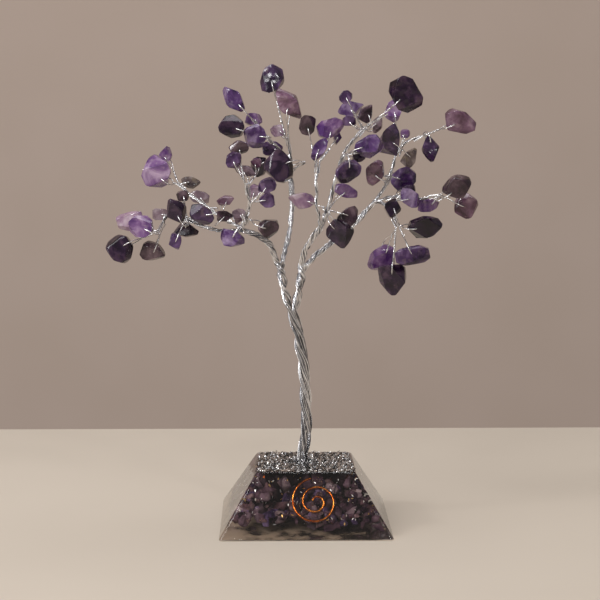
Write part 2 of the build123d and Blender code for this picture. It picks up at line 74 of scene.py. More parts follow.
# A face of the block larger than this, in square metres, is flat and not part of a rounded edge
FLAT_AREA = 1e-4

# Strands: each is three fine wires laid together, in longer turns along the trunk
STRAND_SIDES = 5
STRAND_WIRES = 3
FINE_WIRE = 0.40 * MM
STRAND_LAY_RADIUS = 0.24 * MM
STRAND_LAY_PITCH = 8.5 * MM
STRAND_STEP = 0.9 * MM
TRUNK_LAY_EASE = 4.0
FORK_REACH = 6 * MM

# Twigs: each is one fine wire doubled and twisted, and a wire of it runs in along the strand
WIRE_SIDES = 4
TWIG_WIRE = 0.40 * MM
TWIG_LAY_RADIUS = 0.21 * MM
TWIG_LAY_PITCH = 2.9 * MM
TWIG_LAY_POINTS = 8
TWIG_STEP = 0.5 * MM
TWIG_RUN_RADIUS = 0.5 * MM
TWIG_RUN_NEAR = 1.4 * MM
TWIG_RUN_LEAST = 3
TAIL_SIDE = 0.6
TAIL_BACK = 0.3
# Share of the twig wires run in along a strand that are darker silver, as painted shade
PAINTED_SHADE_SHARE = 0.2

# Loose wire ends that lie out of the trunk's foot over the shavings
LOOSE_ENDS = 7
LOOSE_OUT = 1.2 * MM
LOOSE_TOP = 3.5 * MM
LOOSE_TIP = 0.5 * MM
LOOSE_STEP = 0.7 * MM

# Tumbled stones: how far edges are rounded and faces worn, the longest edge left, and the two sizes of wear
STONE_ROUND, STONE_WEAR = 0.40 * MM, 0.18 * MM
CAST_ROUND, CAST_WEAR = 0.35 * MM, 0.12 * MM
SMALL_ROUND, SMALL_WEAR = 0.3 * MM, 0.1 * MM
LONGEST_EDGE = 1.1 * MM
WEAR_WIDE = 1 / (3.2 * MM)
WEAR_FINE = 1 / (1.1 * MM)
WEAR_SHIFT = (7.3, 3.1, 5.7)

# Clear skin of the block that its chips keep out of, and the height above which chips lie dark under the shavings
CAST_SKIN = 2.0 * MM
CAST_TOP = 1.0 * MM
DARK_ABOVE = 15.5 * MM

# More chips near the faces: count, lowest, highest, wall, depth, largest half sizes in mm, and floor
NEAR_CHIPS = [
    (70, 6.5 * MM, 17.0 * MM, 4.6 * MM, 3.0 * MM, (5.4, 4.0, 2.8), 3.6 * MM),
    (120, 5.0 * MM, 7.6 * MM, 4.0 * MM, 2.0 * MM, (4.6, 3.2, 2.2), 3.2 * MM),
]
# Flat chips settled on the bottom towards the right
SETTLED_CHIPS = 46
SETTLED_REACH = (5.0, 3.4, 1.4)
SETTLED_FLOOR = 1.2 * MM
SETTLED_TILT = 0.3
CHIP_POINTS = 11

# Crumbs near the faces: count, lowest, highest, wall and depth; and how many lie in the corners and behind
NEAR_CRUMBS = [
    (70, 5 * MM, 19.4 * MM, 3.2 * MM, 8 * MM),
    (130, 3.4 * MM, 8.5 * MM, 2.6 * MM, 3 * MM),
]
CORNER_CRUMBS = 80
BACK_CRUMBS = 900
BACK_WALL = 8 * MM
BACK_SCALE = 1.5
CRUMB_JITTER = 0.3

# Flakes just under the shavings, and the rest in front of the chips: lowest, highest, depth, stretch and metals
FLAKES = 620
FLAKES_UNDER = 190
FLAKE_WALL = 1.0 * MM
FLAKE_UNDER = (17.6 * MM, 20.4 * MM, 2.5 * MM, (1.0, 0.5, 1, 1), (0, 2, 2))
FLAKE_FRONT = (4.0 * MM, 18.5 * MM, 1.4 * MM, (1.5, 0.6, 1, 1), (0, 1, 1))

# Copper spiral, as in the part's source, and how far it is opened out
SPIRAL_WIRE = 0.8 * MM
SPIRAL_DEPTH = 1.2 * MM
SPIRAL_START = 1.25 * MM
SPIRAL_PITCH = 3.05 * MM
SPIRAL_QUARTERS = 9
SPIRAL_LAST_SWEEP = radians(75)
SPIRAL_CENTRE_X = 3.5 * MM
SPIRAL_CENTRE_Z = 13.2 * MM
SPIRAL_STEPS = 12
SPIRAL_OPEN = 1.13

# Bed of shavings, which narrows to the rear, and its curls, the first of them heaped round the trunk's foot
BED_INSET = 0.5 * MM
BED_HALF = BASE_TOP_WIDTH / 2 - BED_INSET
BED_TAPER = 0.05
BED_CELLS = 26
BED_LEAST = 0.05
BED_SUNK = 0.4 * MM
CURLS = 3300
HEAPED_CURLS = 340
CURL_STEPS = 6

# Stage, lamps (place, width and power) and camera, fitted to the block's corners and the crown
FLOOR_HALF = 1.5
FLOOR_PLACE = (0, 0.172 - FLOOR_HALF, -0.0002)
BACKDROP_HALF = 2.0
BACKDROP_PLACE = (0, 1.1, 1.0)
LAMP_TARGET = Vector((0, 0, 0.085))
LAMPS = {
    "key": ((-0.75, -0.75, 0.95), 0.9, 9.2),
    "fill": ((-1.15, -0.6, 0.2), 0.6, 3.0),
    "top": ((0.1, 0.25, 1.15), 0.7, 3.5),
    "glint_front": ((-0.35, -0.95, 0.75), 0.14, 2.2),
    "glint_left": ((-0.95, -0.35, 0.7), 0.14, 2.2),
    "glint_right": ((0.55, -0.9, 0.9), 0.14, 1.9),
}
SURROUND_STRENGTH = 0.36
LENS_MM = 105.3
SENSOR_MM = 36.0
CAMERA_PLACE = (-0.01257, -0.61127, 0.151)
CAMERA_TURN = (radians(83.26), 0, radians(-1.02))

# Ply and branches of each limb
LIMBS = {
    "left_limb": ("left_ply", ["left_low_branch", "left_high_branch", "left_inner_branch"]),
    "mid_left_limb": ("mid_left_ply", ["top_branch", "upper_left_branch", "mid_left_branch"]),
    "mid_right_limb": ("mid_right_ply", ["center_branch", "inner_right_branch", "long_branch"]),
    "right_limb": ("right_ply", ["right_high_branch", "right_branch", "right_low_branch"]),
}

# Tone of each stone, in the order of the spray's solids
TONES = {
    "left_tip": ["haze", "near_black", "pale", "lilac", "smoky"],
    "left_low": ["near_black", "near_black", "violet", "smoky"],
    "left_upper": ["lilac", "lilac", "olive"],
    "left_mid": ["mauve", "smoky", "deep", "haze"],
    "left_inner": ["haze", "violet", "smoky"],
    "left_crest": ["pale", "deep", "deep", "smoky", "deep", "haze", "mauve"],
    "top": ["deep", "deep", "mauve", "pale"],
    "upper_left": ["near_black", "violet", "near_black", "lilac", "violet"],
    "mid_left": ["near_black"],
    "center": ["smoky", "violet", "lilac", "violet"],
    "inner_right": ["pale", "lilac", "smoky", "near_black"],
    "mid_right": ["deep", "near_black", "violet"],
    "long": ["deep", "violet", "deep", "smoky", "haze", "near_black"],
    "right_high": ["mauve", "violet"],
    "right_top": ["deep", "lilac", "lilac", "olive", "deep", "mauve"],
    "right": ["deep", "violet", "lilac", "smoky", "mauve"],
    "right_low": ["near_black", "near_black", "lilac", "deep", "near_black"],
}

# Each tone's dark, middle and light colour, the colour of its veils, and the share of light that passes through
AMETHYST = {
    "near_black": ("#100714", "#24132B", "#523C50", "#42303A", 0.10),
    "deep": ("#1E0F28", "#483056", "#836990", "#685260", 0.20),
    "violet": ("#2C1542", "#5E3F74", "#AE97BC", "#82708A", 0.30),
    "lilac": ("#553070", "#8A6698", "#C9B0CC", "#B09AA8", 0.35),
    "pale": ("#74507E", "#B292AC", "#E4D4E0", "#C2ACB2", 0.40),
    "mauve": ("#452638", "#7B5870", "#B497A8", "#957880", 0.30),
    "smoky": ("#180B14", "#402C38", "#7E6870", "#54424A", 0.20),
    "olive": ("#3A2F34", "#746464", "#B2A49E", "#86785E", 0.30),
    "haze": ("#553F4C", "#957E8A", "#CEBCC2", "#A89698", 0.40),
}

# Chips cast in the resin are seen through it, and look duller and browner
CAST_AMETHYST = {
    "dark": ("#0C070A", "#1E1418", "#40333A", "#2E2424"),
    "plum": ("#20141E", "#443039", "#6C5862", "#544442"),
    "wine": ("#2C1A1E", "#523B40", "#7E6768", "#624E4C"),
    "violet": ("#1E1428", "#40304A", "#6A5670", "#524656"),
    "haze": ("#40323A", "#6A585E", "#988688", "#786864"),
}
# Tones of cast chips, by index: under the shavings, and below
CAST_TONES_HIGH = (0, 0, 0, 1)
CAST_TONES_LOW = (0, 0, 1, 1, 1, 1, 2, 2, 3, 3, 4)


def linear(text):
    """An sRGB hex colour as linear RGBA."""
    parts = [int(text[i:i + 2], 16) / 255 for i in (1, 3, 5)]
    return tuple(p / 12.92 if p <= 0.04045 else ((p + 0.055) / 1.055) ** 2.4 for p in parts) + (1.0,)


def add(tree, kind, values=None, links=None, stops=None, **settings):
    """A node with its settings, its sockets' values, the links into it and a ramp's stops."""
    node = tree.nodes.new(kind)
    for name, value in settings.items():
        setattr(node, name, value)
    for socket, value in (values or {}).items():
        node.inputs[socket].default_value = value
    for socket, source in (links or {}).items():
        tree.links.new(source, node.inputs[socket])
    for i, (place, colour) in enumerate(stops or []):
        stop = node.color_ramp.elements[i] if i < 2 else node.color_ramp.elements.new(place)
        stop.position = place
        stop.color = linear(colour)
    return node


def blank(name):
    """A new material and its empty tree."""
    material = bpy.data.materials.new(name)
    material.use_nodes = True
    material.node_tree.nodes.clear()
    return material, material.node_tree


def amethyst(name, dark, middle, light, veil, passing=None):
    """Tumbled amethyst quartz: cloudy zones of violet, smoke and near-white, with a wet gloss if it is not cast in."""
    material, tree = blank(name)
    place = add(tree, "ShaderNodeTexCoord").outputs["Object"]
    # Colour zones about 6 mm across
    zones = add(tree, "ShaderNodeTexNoise",
                {"Scale": 1 / (6 * MM), "Detail": 4.0, "Roughness": 0.55, "Distortion": 0.5}, {"Vector": place})
    tint = add(tree, "ShaderNodeValToRGB", links={"Fac": zones.outputs["Fac"]},
               stops=[(0.36, dark), (0.68, light), (0.52, middle)])
    # Smoky or milky veils about 3 mm across
    veils = add(tree, "ShaderNodeTexNoise", {"Scale": 1 / (3 * MM), "Detail": 5.0, "Roughness": 0.65},
                {"Vector": place})
    share = add(tree, "ShaderNodeMapRange", {"From Min": 0.54, "From Max": 0.66, "To Max": 0.7},
                {"Value": veils.outputs["Fac"]})
    mixed = add(tree, "ShaderNodeMix", {7: linear(veil)}, {0: share.outputs["Result"], 6: tint.outputs["Color"]},
                data_type="RGBA")
    # Shell-shaped chips about 2.5 mm across, and a fine grain
    shells = add(tree, "ShaderNodeTexVoronoi", {"Scale": 1 / (2.5 * MM), "Smoothness": 0.35}, {"Vector": place},
                 feature="SMOOTH_F1")
    dents = add(tree, "ShaderNodeBump", {"Strength": 0.3, "Distance": 0.5 * MM},
                {"Height": shells.outputs["Distance"]})
    grain = add(tree, "ShaderNodeBump", {"Strength": 0.2, "Distance": 0.2 * MM},
                {"Height": veils.outputs["Fac"], "Normal": dents.outputs["Normal"]})
    gloss = add(tree, "ShaderNodeMapRange", {"To Min": 0.04, "To Max": 0.22}, {"Value": veils.outputs["Fac"]})
    # Quartz and resin bend light alike, so a cast chip has no gloss of its own
    surface = {"IOR": 1.01}
    if passing is not None:
        surface = {"IOR": 1.544, "Specular IOR Level": 0.25, "Transmission Weight": passing,
                   "Coat Weight": 0.3, "Coat Roughness": 0.03}
    shader = add(tree, "ShaderNodeBsdfPrincipled", surface,
                 {"Base Color": mixed.outputs[2], "Roughness": gloss.outputs["Result"],
                  "Normal": grain.outputs["Normal"]})
    add(tree, "ShaderNodeOutputMaterial", links={"Surface": shader.outputs["BSDF"]})
    return material


def bare_metal(name, bright, darker, roughness):
    """Bare metal, drawn or cut: bright, with darker patches at random."""
    material, tree = blank(name)
    place = add(tree, "ShaderNodeTexCoord").outputs["Object"]
    # Patches about 2.5 mm long: painted shade on the silver and copper wires, and on the copper painted highlight too
    marks = add(tree, "ShaderNodeTexNoise", {"Scale": 1 / (2.5 * MM), "Detail": 2.0}, {"Vector": place})
    tint = add(tree, "ShaderNodeValToRGB", links={"Fac": marks.outputs["Fac"]}, stops=[(0.35, darker), (0.65, bright)])
    gloss = add(tree, "ShaderNodeMapRange", {"To Min": roughness, "To Max": roughness + 0.14},
                {"Value": marks.outputs["Fac"]})
    shader = add(tree, "ShaderNodeBsdfPrincipled", {"Metallic": 1.0},
                 {"Base Color": tint.outputs["Color"], "Roughness": gloss.outputs["Result"]})
    add(tree, "ShaderNodeOutputMaterial", links={"Surface": shader.outputs["BSDF"]})
    return material


def cast_resin():
    """Clear cast polyester resin: water-clear with a polished skin and faint waves from the mould."""
    material, tree = blank("cast_clear_resin")
    place = add(tree, "ShaderNodeTexCoord").outputs["Object"]
    # Mould waves about 9 mm long
    waves = add(tree, "ShaderNodeTexNoise", {"Scale": 1 / (9 * MM), "Detail": 1.0}, {"Vector": place})
    skin = add(tree, "ShaderNodeBump", {"Strength": 0.12, "Distance": 0.4 * MM}, {"Height": waves.outputs["Fac"]})
    shader = add(tree, "ShaderNodeBsdfPrincipled",
                 {"Base Color": linear("#F6F3F0"), "Roughness": 0.03, "IOR": 1.53, "Specular IOR Level": 0.3,
                  "Transmission Weight": 1.0}, {"Normal": skin.outputs["Normal"]})
    # Lamps shine through it onto what is cast inside
    clear = add(tree, "ShaderNodeBsdfTransparent", {"Color": linear("#EFEAE6")})
    rays = add(tree, "ShaderNodeLightPath")
    both = add(tree, "ShaderNodeMixShader",
               links={0: rays.outputs["Is Shadow Ray"], 1: shader.outputs["BSDF"], 2: clear.outputs["BSDF"]})
    add(tree, "ShaderNodeOutputMaterial", links={"Surface": both.outputs["Shader"]})
    return material


def clouded_underside():
    """The cast block's underside: milky towards the left and in patches, which is painted light, and clear elsewhere.
    """
    material, tree = blank("ground_resin_underside")
    place = add(tree, "ShaderNodeTexCoord").outputs["Object"]
    # Milky patches about 7 mm across, and milkier towards the left: painted light
    marks = add(tree, "ShaderNodeTexNoise", {"Scale": 1 / (7 * MM), "Detail": 3.0}, {"Vector": place})
    across = add(tree, "ShaderNodeSeparateXYZ", links={"Vector": place})
    painted_light_share = add(tree, "ShaderNodeMath", {1: 4.5}, {0: across.outputs["X"], 2: marks.outputs["Fac"]},
                 operation="MULTIPLY_ADD")
    clear = add(tree, "ShaderNodeMapRange", {"From Min": 0.40, "From Max": 0.58, "To Min": 0.1, "To Max": 0.95},
                {"Value": painted_light_share.outputs["Value"]})
    shader = add(tree, "ShaderNodeBsdfPrincipled", {"Base Color": linear("#93816F"), "Roughness": 0.12, "IOR": 1.53},
                 {"Transmission Weight": clear.outputs["Result"]})
    add(tree, "ShaderNodeOutputMaterial", links={"Surface": shader.outputs["BSDF"]})
    return material


def turned_shavings():
    """Turned aluminium shavings: thin bright curls, with painted shade, grey and near-black, in random spots that stand
    in for the curls' shade on each other.
    """
    material, tree = blank("turned_aluminium_shavings")
    place = add(tree, "ShaderNodeTexCoord").outputs["Object"]
    # Painted shade that changes every 0.8 mm or so: near-black and grey spots between white ones
    curls = add(tree, "ShaderNodeTexNoise", {"Scale": 1 / (0.8 * MM), "Detail": 2.0}, {"Vector": place})
    tint = add(tree, "ShaderNodeValToRGB", links={"Fac": curls.outputs["Fac"]},
               stops=[(0.45, "#0E0D10"), (0.58, "#FFFFFF"), (0.51, "#77767A")])
    shader = add(tree, "ShaderNodeBsdfPrincipled", {"Metallic": 1.0, "Roughness": 0.20},
                 {"Base Color": tint.outputs["Color"]})
    add(tree, "ShaderNodeOutputMaterial", links={"Surface": shader.outputs["BSDF"]})
    return material


def matt_board(name, colour, other):
    """Painted board: flat and matt, with a faint cloudiness."""
    material, tree = blank(name)
    place = add(tree, "ShaderNodeTexCoord").outputs["Object"]
    # Clouds about 120 mm across
    clouds = add(tree, "ShaderNodeTexNoise", {"Scale": 1 / (120 * MM), "Detail": 2.0}, {"Vector": place})
    tint = add(tree, "ShaderNodeValToRGB", links={"Fac": clouds.outputs["Fac"]}, stops=[(0.3, other), (0.7, colour)])
    shader = add(tree, "ShaderNodeBsdfPrincipled", {"Roughness": 0.75, "Specular IOR Level": 0.2},
                 {"Base Color": tint.outputs["Color"]})
    add(tree, "ShaderNodeOutputMaterial", links={"Surface": shader.outputs["BSDF"]})
    return material


# Silver wire: its darker patches are painted shade
SILVER = bare_metal("silver_plated_copper_wire", "#F6F6F8", "#D2D1D4", 0.10)
# A darker silver for some wires: painted shade that stands in for the dark gaps between laid wires
PAINTED_SHADE_SILVER = bare_metal("tarnished_silver_wire", "#A2A1A6", "#6A696E", 0.12)
# Copper wire: its bright and darker patches are painted highlight and painted shade
COPPER = bare_metal("bare_copper_wire", "#F29C40", "#A84A12", 0.12)
GILT = bare_metal("brass_leaf_flakes", "#E8C680", "#C09850", 0.42)
FLAKE = bare_metal("cut_aluminium_flakes", "#FFFFFF", "#EAE6E0", 0.42)
SHAVINGS = turned_shavings()
RESIN = cast_resin()
UNDERSIDE = clouded_underside()
STONE = {tone: amethyst("amethyst_" + tone, *look) for tone, look in AMETHYST.items()}
CAST_STONE = [amethyst("cast_amethyst_" + tone, *look) for tone, look in CAST_AMETHYST.items()]


def shown(name, bm, materials):
    """An object in the scene with a finished mesh."""
    mesh = bpy.data.meshes.new(name)
    bm.to_mesh(mesh)
    bm.free()
    for material in materials:
        mesh.materials.append(material)
    obj = bpy.data.objects.new(name, mesh)
    bpy.context.scene.collection.objects.link(obj)
    return obj


def piece(name, bm, body, slot, materials, *nodes):
    """A piece of the part that rides on a body, or on none, and stands for CAD nodes."""
    obj = shown(name, bm, materials)
    if body:
        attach(obj, body)
    if nodes:
        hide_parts(*nodes)
    return obj


def body_of(node):
    """The body that a CAD node rides on."""
    return frame["nodes"][node].parent.name.split(":")[1]


def merged(node):
    """A copy of a CAD node's mesh with its loose triangles merged."""
    bm = bmesh.new()
    bm.from_mesh(frame["nodes"][node].data)
    bmesh.ops.remove_doubles(bm, verts=bm.verts, dist=1e-7)
    bm.verts.ensure_lookup_table()
    return bm


def layers(start):
    """The vertices round a start, layer by layer of edges."""
    seen = set(start)
    found = [list(start)]
    while found[-1]:
        ring = {e.other_vert(v) for v in found[-1] for e in v.link_edges} - seen
        seen |= ring
        found.append(sorted(ring, key=lambda v: v.index))
    return found[:-1]


def solids(bm):
    """The separate solids of a mesh, each a list of vertices, in the source's order."""
    left = {v.index for v in bm.verts}
    parts = []
    while left:
        part = [v for layer in layers([bm.verts[min(left)]]) for v in layer]
        left -= {v.index for v in part}
        parts.append(part)
    return parts


def middle(points):
    """The mean of some points."""
    return sum((Vector(p) for p in points), Vector()) / len(points)


def tube_lines(node, sides):
    """The middle line of each tube of a CAD node, one point for each ring."""
    bm = merged(node)
    lines = []
    for part in solids(bm):
        ends = [sorted(part, key=lambda v: (v.co - tip.co).length)[:sides] for tip in part]
        rings = next(found for found in map(layers, ends) if all(len(ring) == sides for ring in found))
        lines.append([middle([v.co for v in ring]) for ring in rings])
    bm.free()
    return lines


def smooth(points, step):
    """An even line through the points."""
    line = []
    for i in range(len(points) - 1):
        a, b = points[i], points[i + 1]
        run = (b - a).length
        lead = (b - points[max(i - 1, 0)]).normalized() * (run / 3)
        trail = (points[min(i + 2, len(points) - 1)] - a).normalized() * (run / 3)
        line += interpolate_bezier(a, a + lead, b - trail, b, max(2, ceil(run / step) + 1))[:-1]
    return line + [points[-1]]


def laid(line, radius, pitch, phase, slow=0):
    """A wire laid left-handed round a line, at an eased pitch up to one of its points."""
    tangent = (line[1] - line[0]).normalized()
    side = tangent.orthogonal().normalized()
    angle = phase
    wire = []
    for i, p in enumerate(line):
        ahead = (line[min(i + 1, len(line) - 1)] - line[max(i - 1, 0)]).normalized()
        side = (side - ahead * side.dot(ahead)).normalized()
        if i:
            angle -= TURN * (p - line[i - 1]).length / (pitch * (TRUNK_LAY_EASE if i < slow else 1.0))
        wire.append(p + side * (radius * cos(angle)) + ahead.cross(side) * (radius * sin(angle)))
    return wire


def wires(name, lines, diameter, body, *nodes, materials=(SILVER, PAINTED_SHADE_SILVER), slot="silver_wire", sides=1):
    """Round wires along some lines, each bright, or darker with painted shade, as one piece."""
    curve = bpy.data.curves.new(name, "CURVE")
    curve.dimensions = "3D"
    curve.bevel_depth = diameter / 2
    curve.bevel_resolution = sides
    curve.use_fill_caps = True
    for material in materials:
        curve.materials.append(material)
    for line, darker in lines:
        spline = curve.splines.new("POLY")
        spline.material_index = int(darker)
        spline.points.add(len(line) - 1)
        for point, p in zip(spline.points, line):
            point.co = (*p, 1.0)
    bent = bpy.data.objects.new(name + "_line", curve)
    mesh = bpy.data.meshes.new_from_object(bent)
    bpy.data.objects.remove(bent)
    bpy.data.curves.remove(curve)
    bm = bmesh.new()
    bm.from_mesh(mesh)
    bpy.data.meshes.remove(mesh)
    for face in bm.faces:
        face.smooth = True
    return piece(name, bm, body, slot, materials, *nodes)


def join(bm, part):
    """Adds a small mesh to a larger one."""
    mesh = bpy.data.meshes.new("part")
    part.to_mesh(mesh)
    bm.from_mesh(mesh)
    bpy.data.meshes.remove(mesh)


def tumbled(bm, points, round_off, wear, seed, index, passes=2):
    """A tumbled chip added to a mesh: the hull of the points with its edges rounded and its faces worn."""
    chip = bmesh.new()
    for p in points:
        chip.verts.new(p)
    hull = bmesh.ops.convex_hull(chip, input=chip.verts)
    spare = {g for g in hull["geom_interior"] + hull["geom_unused"] if isinstance(g, bmesh.types.BMVert)}
    bmesh.ops.delete(chip, geom=list(spare), context="VERTS")
    bmesh.ops.dissolve_limit(chip, angle_limit=radians(5), verts=chip.verts, edges=chip.edges)
    bmesh.ops.bevel(chip, geom=chip.edges[:], offset=round_off, offset_type="OFFSET", affect="EDGES",
                    segments=max(1, passes), profile=0.5, material=-1, clamp_overlap=True)
    bmesh.ops.triangulate(chip, faces=chip.faces)
    for _ in range(passes):
        coarse = [e for e in chip.edges if e.calc_length() > LONGEST_EDGE]
        bmesh.ops.subdivide_edges(chip, edges=coarse, cuts=1)
        bmesh.ops.triangulate(chip, faces=chip.faces)
    for _ in range(passes):
        bmesh.ops.smooth_vert(chip, verts=chip.verts, factor=0.5, use_axis_x=True, use_axis_y=True, use_axis_z=True)
    chip.normal_update()
    shift = Vector([seed * s for s in WEAR_SHIFT])
    for v in chip.verts:
        worn = noise.noise(v.co * WEAR_WIDE + shift) + 0.4 * noise.noise(v.co * WEAR_FINE + shift)
        v.co -= v.normal * (wear * (0.5 + 0.5 * worn))
    bmesh.ops.recalc_face_normals(chip, faces=chip.faces)
    for face in chip.faces:
        face.smooth = True
        face.material_index = index
    join(bm, chip)
    chip.free()


def any_turn(rng):
    """A turn about all three axes, drawn at random."""
    return Euler([rng.uniform(0, TURN) for _ in range(3)]).to_matrix()


def block_half(z):
    """Half the width of the resin block at a height."""
    return BASE_WIDTH / 2 + (BASE_TOP_WIDTH - BASE_WIDTH) / 2 * z / BASE_HEIGHT


def inside(rng, low, high, wall, depth):
    """A point in the block near one of its faces, between two heights and two depths."""
    z = rng.uniform(low, high)
    half = block_half(z) - wall
    near = half - rng.uniform(0, depth)
    along = rng.uniform(-half, half)
    return Matrix.Rotation(pi / 2 * rng.randrange(4), 3, "Z") @ Vector((along, -near, z))


def cast_in(p, low):
    """A point moved inside the block's skin of clear resin, and above a height."""
    z = min(max(p.z, low), BASE_HEIGHT - CAST_TOP)
    half = block_half(z) - CAST_SKIN
    return Vector((min(max(p.x, -half), half), min(max(p.y, -half), half), z))


def cast_tone(rng, z):
    """The index of a tone for a cast chip at a height: the darkest lie under the shavings."""
    return rng.choice(CAST_TONES_HIGH if z > DARK_ABOVE else CAST_TONES_LOW)


def spiral_line():
    """The spiral's line: the source's quarter turns behind the front face, opened out a little from the outer end."""
    face_up = Vector((0, FACE_LEAN, 1)).normalized()
    face_out = Vector((1, 0, 0)).cross(face_up)
    hub = Vector((SPIRAL_CENTRE_X, -BASE_WIDTH / 2 + SPIRAL_CENTRE_Z * FACE_LEAN, SPIRAL_CENTRE_Z))
    hub = hub - face_out * SPIRAL_DEPTH
    line = []
    for k in range(SPIRAL_QUARTERS):
        radius = SPIRAL_START + SPIRAL_PITCH / 4 * k
        start = pi - pi / 2 * k
        sweep = SPIRAL_LAST_SWEEP if k == SPIRAL_QUARTERS - 1 else pi / 2
        for i in range(SPIRAL_STEPS + 1):
            turn = start - sweep * i / SPIRAL_STEPS
            if i or not k:
                line.append(hub + Vector((cos(turn), 0, 0)) * radius + face_up * (sin(turn) * radius))
        hub = hub - (Vector((sin(start), 0, 0)) - face_up * cos(start)) * (SPIRAL_PITCH / 4)
    return [line[-1] + (p - line[-1]) * SPIRAL_OPEN for p in line]


def bed_taper(y):
    """The share of the bed's full width at a place from front to rear."""
    return 1 - BED_TAPER * (y / BED_HALF + 1) / 2


# Middle line of each twig, from its tail on the strand
TWIGS = {spray: tube_lines(spray + "_twigs", WIRE_SIDES) for spray in TONES}
ALL_TWIGS = sum(TWIGS.values(), [])
for line in ALL_TWIGS:
    if (line[1] - line[0]).length < (line[-1] - line[-2]).length:
        line.reverse()

# Trunk, forks and branches: each strand runs on from its ply, through the fork, to the end of its branch,
# and a wire of each twig runs in along the strand, so a branch thickens towards its fork
trunk_lines = []
for limb, (ply, branches) in LIMBS.items():
    fork_lines = []
    lower = [line if line[0].z < line[-1].z else line[::-1] for line in tube_lines(ply, STRAND_SIDES)]
    for number, branch in enumerate(branches):
        upper = tube_lines(branch, STRAND_SIDES)[0]
        ends = [(upper, low) for low in lower] + [(upper[::-1], low) for low in lower]
        upper, low = min(ends, key=lambda pair: (pair[0][0] - pair[1][-1]).length)
        line = smooth(low + upper, STRAND_STEP)
        hinge = (low[-1] + upper[0]) / 2
        near = min(range(len(line)), key=lambda i: (line[i] - hinge).length)
        steps = round(FORK_REACH / STRAND_STEP)
        first, last = near - steps, near + steps
        rng = Random(limb + branch)
        branch_lines = []
        # The first wire of each three is darker silver: painted shade for the gaps between wires
        for k in range(STRAND_WIRES):
            pitch = STRAND_LAY_PITCH * rng.uniform(0.9, 1.1)
            wire = laid(line, STRAND_LAY_RADIUS, pitch, TURN * (k / STRAND_WIRES) + number, first)
            trunk_lines.append((wire[:first + 1], k == 0))
            fork_lines.append((wire[first:last + 1], k == 0))
            branch_lines.append((wire[last:], k == 0))
        for twig in ALL_TWIGS:
            end = min(range(len(line)), key=lambda i: (line[i] - twig[0]).length)
            if end > last + TWIG_RUN_LEAST and (line[end] - twig[0]).length < TWIG_RUN_NEAR:
                radius = TWIG_RUN_RADIUS * rng.uniform(0.85, 1.15)
                wire = laid(line, radius, STRAND_LAY_PITCH * rng.uniform(0.8, 1.1), rng.uniform(0, TURN))
                # Some run-in wires are darker silver: painted shade
                darker = rng.random() < PAINTED_SHADE_SHARE
                fork_lines.append((wire[first:last + 1], darker))
                branch_lines.append((wire[last:end + 1], darker))
        wires(branch + "_strand", branch_lines, FINE_WIRE, limb, branch)
    fork = wires(limb + "_fork", fork_lines, FINE_WIRE, None)
    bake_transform(fork)

# Loose wire ends
rng = Random(5)
foot = middle([line[0] for line, _ in trunk_lines])
for k in range(LOOSE_ENDS):
    turn = TURN * k / LOOSE_ENDS + rng.uniform(-0.4, 0.4)
    out = Vector((cos(turn), sin(turn), 0))
    reach = rng.uniform(1.0, 3.0) * MM
    bend = Vector((-out.y, out.x, 0)) * (rng.uniform(-2, 2) * MM)
    start = Vector((foot.x, foot.y, BASE_HEIGHT)) + out * LOOSE_OUT
    rise = rng.uniform(0.8, 2.0) * MM
    bends = [start + Vector((0, 0, LOOSE_TOP)), start + out * (reach * 0.35) + Vector((0, 0, rise)),
             start + out * reach + bend + Vector((0, 0, LOOSE_TIP))]
    trunk_lines.append((smooth(bends, LOOSE_STEP), False))
wires("trunk_wires", trunk_lines, FINE_WIRE, "stand", "left_ply", "mid_left_ply", "mid_right_ply", "right_ply")

# Twigs and stones: a doubled wire leaves the strand, is twisted, parts at the neck and meets in the stone's bore
for spray, tones in TONES.items():
    body = body_of(spray + "_twigs")
    twig_lines = []
    for tail, *leave, neck, rim, mouth, mouth_2, rim_2, neck_2, _ in TWIGS[spray]:
        root = leave[-1]
        throat = (neck + neck_2) / 2
        along = throat - root
        turns = max(1, round(along.length / TWIG_LAY_PITCH))
        count = turns * TWIG_LAY_POINTS
        for sign, path in ((1, [neck, rim, mouth]), (-1, [neck_2, rim_2, mouth_2])):
            side = (neck - throat) - along * ((neck - throat).dot(along) / along.length_squared)
            side = side.normalized() * (TWIG_LAY_RADIUS * sign)
            across = along.normalized().cross(side)
            twist = [root + along * (i / count) + side * cos(TURN * turns * i / count)
                     - across * sin(TURN * turns * i / count) for i in range(count + 1)]
            back = (tail - leave[0]) * TAIL_BACK
            tails = [tail + side * TAIL_SIDE] + [p + back + side * TAIL_SIDE for p in leave]
            twig_lines.append((smooth(tails + twist + path + [(mouth + mouth_2) / 2], TWIG_STEP), False))
    wires(spray + "_twig_wires", twig_lines, TWIG_WIRE, body, spray + "_twigs")
    cad = merged(spray + "_stones")
    used = sorted(set(tones))
    bm = bmesh.new()
    for k, (part, tone) in enumerate(zip(solids(cad), tones)):
        tumbled(bm, [v.co.copy() for v in part], STONE_ROUND, STONE_WEAR, len(spray) + k, used.index(tone))
    cad.free()
    piece(spray + "_gems", bm, body, "amethyst", [STONE[tone] for tone in used], spray + "_stones")

